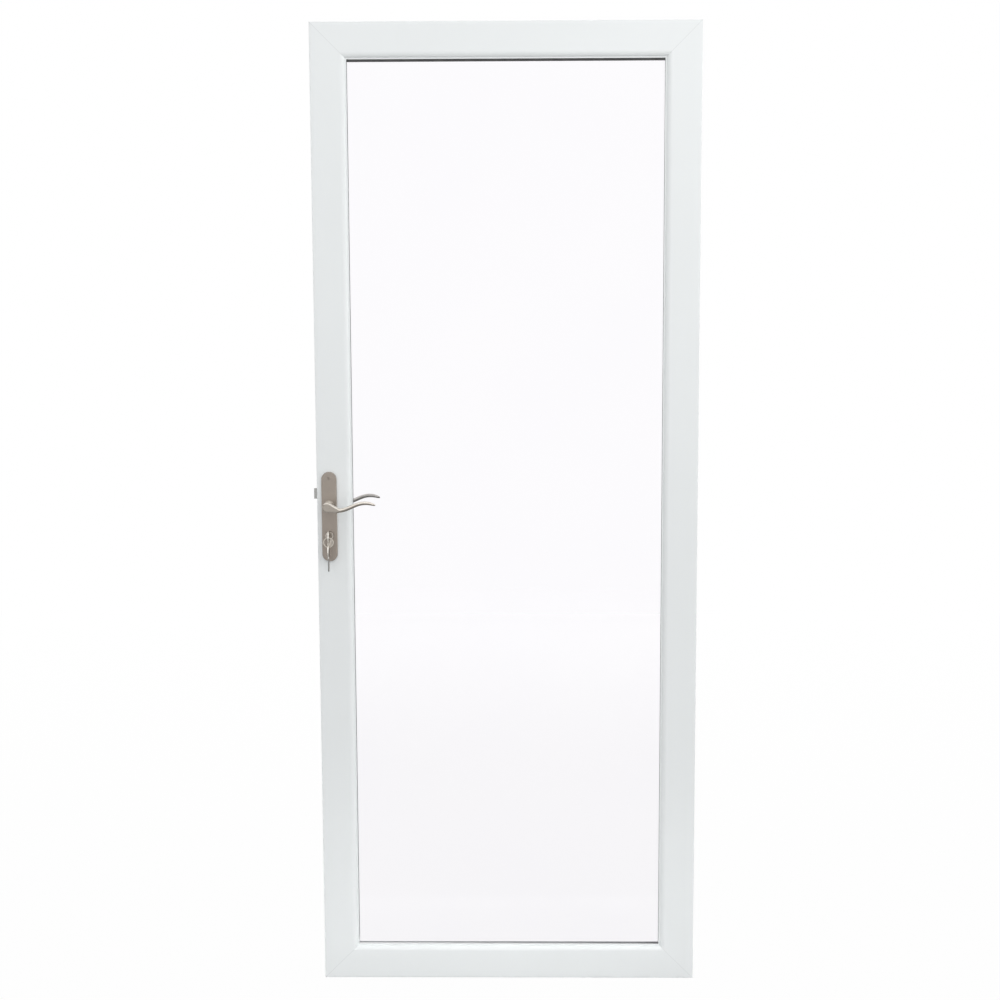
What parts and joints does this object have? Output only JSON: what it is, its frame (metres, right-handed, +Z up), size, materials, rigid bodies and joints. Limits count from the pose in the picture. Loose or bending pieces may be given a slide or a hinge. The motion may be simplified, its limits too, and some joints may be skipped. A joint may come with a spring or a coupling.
{
  "type": "aluminium storm door leaf",
  "caption": "Full-view storm door leaf: mitred white aluminium frame round a clear pane, with a curved lever set on both faces, a sprung latch and a key left in its cylinder",
  "frame": {"origin": "on the hinge edge, at the middle of the leaf's thickness and at its foot", "axes": "+X out of the hinge edge, so the lock edge is at -X; the face in the picture looks along -Y; +Z up"},
  "size_m": [0.807, 0.141, 2.032],
  "materials": {
    "white_paint": "satin",
    "clear_glass": "gloss",
    "black_rubber": "matte",
    "satin_nickel": "satin",
    "lock_steel": "satin",
    "cylinder_nickel": "satin",
    "key_nickel": "satin",
    "ring_steel": "polished"
  },
  "bodies": {
    "leaf": {"lock_stile": "white_paint", "hinge_stile": "white_paint", "top_rail": "white_paint", "bottom_rail": "white_paint", "glass_pane": "clear_glass", "front_bead_top": "white_paint", "front_bead_bottom": "white_paint", "front_bead_lock_side": "white_paint", "front_bead_hinge_side": "white_paint", "front_gasket": "black_rubber", "back_gasket": "black_rubber", "front_backplate": "satin_nickel", "back_backplate": "satin_nickel", "front_lever_bush": "satin_nickel", "back_lever_bush": "satin_nickel", "lock_faceplate": "lock_steel", "lock_case": "lock_steel", "dead_bolt": "lock_steel", "cylinder_body": "cylinder_nickel"},
    "levers": {"front_lever": "satin_nickel", "back_lever": "satin_nickel", "spindle": "lock_steel"},
    "latch": {"latch_bolt": "lock_steel"},
    "turning_key": {"cylinder_plug": "cylinder_nickel", "key": "key_nickel"},
    "ring": {"key_ring": "ring_steel"},
    "hanging_key": {"spare_key": "key_nickel"}
  },
  "joints": [
    {"name": "lever_turn", "type": "hinge", "parent": "leaf", "child": "levers", "pos_m": [-0.774, 0, 1.042], "axis": [0, 1, 0], "range_deg": [0, 45], "stiffness_Nm_per_rad": 1.2, "springref_deg": -20.05},
    {"name": "latch_slide", "type": "slide", "parent": "leaf", "child": "latch", "axis": [1, 0, 0], "range_m": [0, 0.007]},
    {"name": "key_turn", "type": "hinge", "parent": "leaf", "child": "turning_key", "pos_m": [-0.774, 0, 0.977], "axis": [0, 1, 0], "range_deg": [0, 90]},
    {"name": "ring_swing", "type": "hinge", "parent": "turning_key", "child": "ring", "pos_m": [-0.774, -0.04866, 0.9759], "axis": [-1, 0, 0], "range_deg": [-8, 60]},
    {"name": "spare_key_swing", "type": "hinge", "parent": "ring", "child": "hanging_key", "pos_m": [-0.774, -0.04866, 0.9561], "axis": [-1, 0, 0], "range_deg": [-4, 60]}
  ],
  "couplings": [
    {"joint": "latch_slide", "follows": "lever_turn", "m_per_rad": 0.008913}
  ]
}
